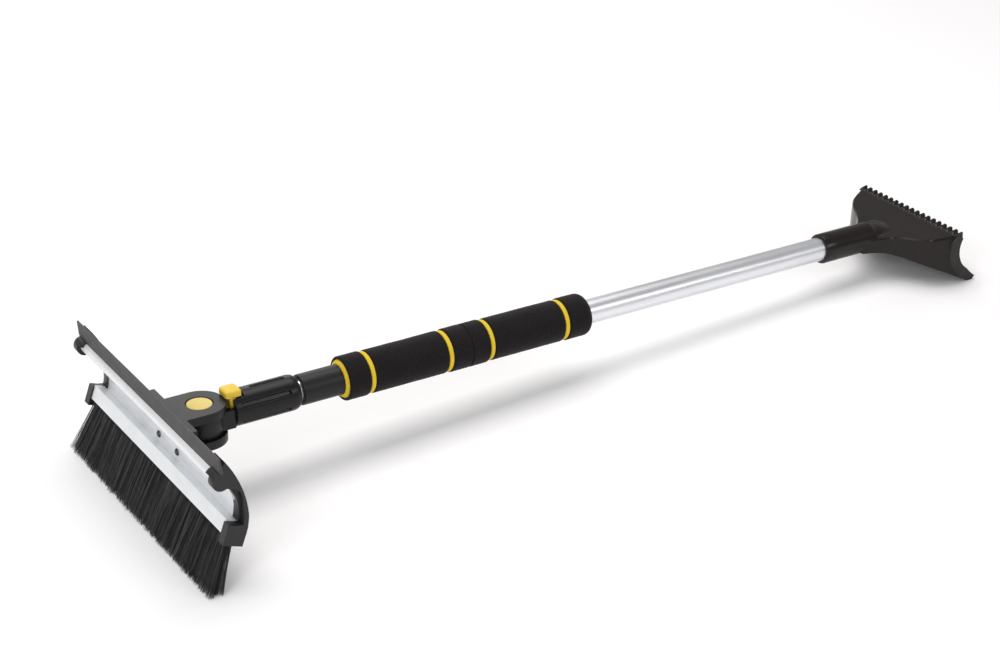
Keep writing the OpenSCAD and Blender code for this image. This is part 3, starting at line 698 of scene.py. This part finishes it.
def bristle_mesh():
    """Tufts of filaments, cut level with the ground, and a few strays."""
    rng = random.Random(7)
    bm = bmesh.new()
    ground = HUB.inverted()
    normal = (ground.to_3x3() @ Vector((0, 0, 1))).normalized()
    origin = ground @ Vector((0, 0, 0))
    for row in range(ROWS):
        for k in range(TUFTS):
            y_root = -STRIP_HALF + 2 * STRIP_HALF * (k + 0.5 * (row % 2)) / (TUFTS - 0.5)
            u_root = MOUTH_U + (row - 1) * 1.9
            lean_y = rng.gauss(0, 0.5)
            lean_u = rng.gauss(0, 0.2)
            for _ in range(PER_TUFT):
                share = y_root / STRIP_HALF
                ang, rad = rng.uniform(0, 2 * math.pi), 1.5 * math.sqrt(rng.random())
                y0 = y_root + rad * math.cos(ang) * 1.2
                u0 = u_root + rad * math.sin(ang) * 0.7
                fan = 9.5 * math.copysign(abs(share) ** 6, share)
                y1 = y0 + fan + lean_y + rng.gauss(0, 0.9)
                u1 = REACH_U + (u0 - MOUTH_U) * 2.1 + lean_u + rng.gauss(0, 0.6)
                root = CHANNEL + U_AXIS * u0 + V_AXIS * 2.0 + Vector((0, y0, 0))
                tip = CHANNEL + U_AXIS * u1 - V_AXIS * BRISTLE_LEN + Vector((0, y1, 0))
                way = tip - root
                reach = (origin - root).dot(normal) / way.dot(normal)
                short = abs(rng.gauss(0, 0.14)) + (rng.random() < 0.02) * rng.uniform(0.5, 2)
                way = way * (reach - (short + 0.1) / way.length)
                crimp = rng.gauss(0, 0.25)
                turn = rng.uniform(0, 2 * math.pi)
                points = []
                for i in range(6):
                    t = i / 5
                    bow = math.sin(math.pi * t)
                    wave = crimp * math.sin(9 * t + turn) * t
                    points.append(root + way * t + U_AXIS * (bow * 0.4 * (u1 - u0) * 0.1 + wave * 0.6)
                                  + Vector((0, wave + bow * fan * -0.12, 0)))
                bristle(bm, points, rng.uniform(0.13, 0.2))
    for y, u, dy, du in STRAYS:
        root = CHANNEL + U_AXIS * u + V_AXIS * 2.0 + Vector((0, y, 0))
        way = CHANNEL + U_AXIS * (u + du) - V_AXIS * BRISTLE_LEN + Vector((0, y + dy, 0)) - root
        way *= (origin - root).dot(normal) / way.dot(normal) * rng.uniform(0.86, 0.99)
        bristle(bm, [root + way * (i / 7) + Vector((0, dy * 0.12 * math.sin(math.pi * i / 7), 0))
                     for i in range(8)], 0.16)
    return as_mesh("bristles", bm, 180)


link("bristle_fibres", bristle_mesh(), "head", "bristle_fibre", "bristles")

# ---------------------------------------------------------------- floor, light, camera
def studio():
    """Pale floor, white surroundings and four soft lights."""
    bm = bmesh.new()
    bmesh.ops.create_grid(bm, x_segments=1, y_segments=1, size=6)
    mesh = bpy.data.meshes.new("floor")
    bm.to_mesh(mesh)
    bm.free()
    floor = bpy.data.objects.new("floor", mesh)
    bpy.context.scene.collection.objects.link(floor)
    floor.location.z = -0.0002
    p = Paint("floor", (0.93, 0.93, 0.935), 0.9, Specular_IOR_Level=0.1)
    p.colour(p.mix(p.noise(1.5, 3), (0.925, 0.925, 0.93), (0.94, 0.94, 0.945)))
    mesh.materials.append(p.material)

    world = bpy.data.worlds.new("studio")
    bpy.context.scene.world = world
    world.use_nodes = True
    background = next(n for n in world.node_tree.nodes if n.type == "BACKGROUND")
    background.inputs["Color"].default_value = (1, 1, 1, 1)
    background.inputs["Strength"].default_value = 0.42

    def softbox(name, place, target, size, power, colour):
        light = bpy.data.lights.new(name, "AREA")
        light.shape = "RECTANGLE"
        light.size, light.size_y = size
        light.energy = power
        light.color = colour
        lamp = bpy.data.objects.new(name, light)
        bpy.context.scene.collection.objects.link(lamp)
        lamp.location = place
        lamp.rotation_euler = (Vector(target) - Vector(place)).to_track_quat("-Z", "Y").to_euler()

    softbox("top", (0.35, 0.45, 1.9), (0.35, 0, 0), (2.2, 1.2), 26, (1.0, 0.965, 0.945))
    softbox("left", (-1.9, -1.3, 1.3), (0.1, 0, 0.05), (1.0, 1.6), 23, (0.97, 0.98, 1.0))
    softbox("back", (0.62, 1.9, 0.98), (0.15, 0, 0.08), (1.5, 0.8), 9, (1, 0.98, 0.98))
    softbox("front", (1.15, -1.55, 1.0), (0.25, 0, 0.07), (1.1, 0.35), 6, (1, 1, 1))


def camera():
    """The camera of the picture, placed by its bearings in the hub's own axes."""
    azimuth, elevation, roll = map(math.radians, (32.191, 26.136, 0.37))
    ahead = Vector((math.cos(elevation) * math.sin(azimuth), math.cos(elevation) * math.cos(azimuth),
                    -math.sin(elevation)))
    right = Vector((math.cos(azimuth), -math.sin(azimuth), 0))
    up = right.cross(ahead)
    right, up = (math.cos(roll) * right + math.sin(roll) * up, math.cos(roll) * up - math.sin(roll) * right)
    data = bpy.data.cameras.new("camera")
    data.sensor_width = 36
    data.lens = 76.73
    data.clip_start, data.clip_end = 0.05, 50
    cam = bpy.data.objects.new("camera", data)
    bpy.context.scene.collection.objects.link(cam)
    turn = TURN @ Matrix((right, up, -ahead)).transposed().to_4x4()
    cam.matrix_world = Matrix.Translation(HUB @ Vector((-590.87, -1383.83, 804.77))) @ turn
    bpy.context.scene.camera = cam


studio()
camera()
bpy.context.scene.view_settings.view_transform = "Standard"
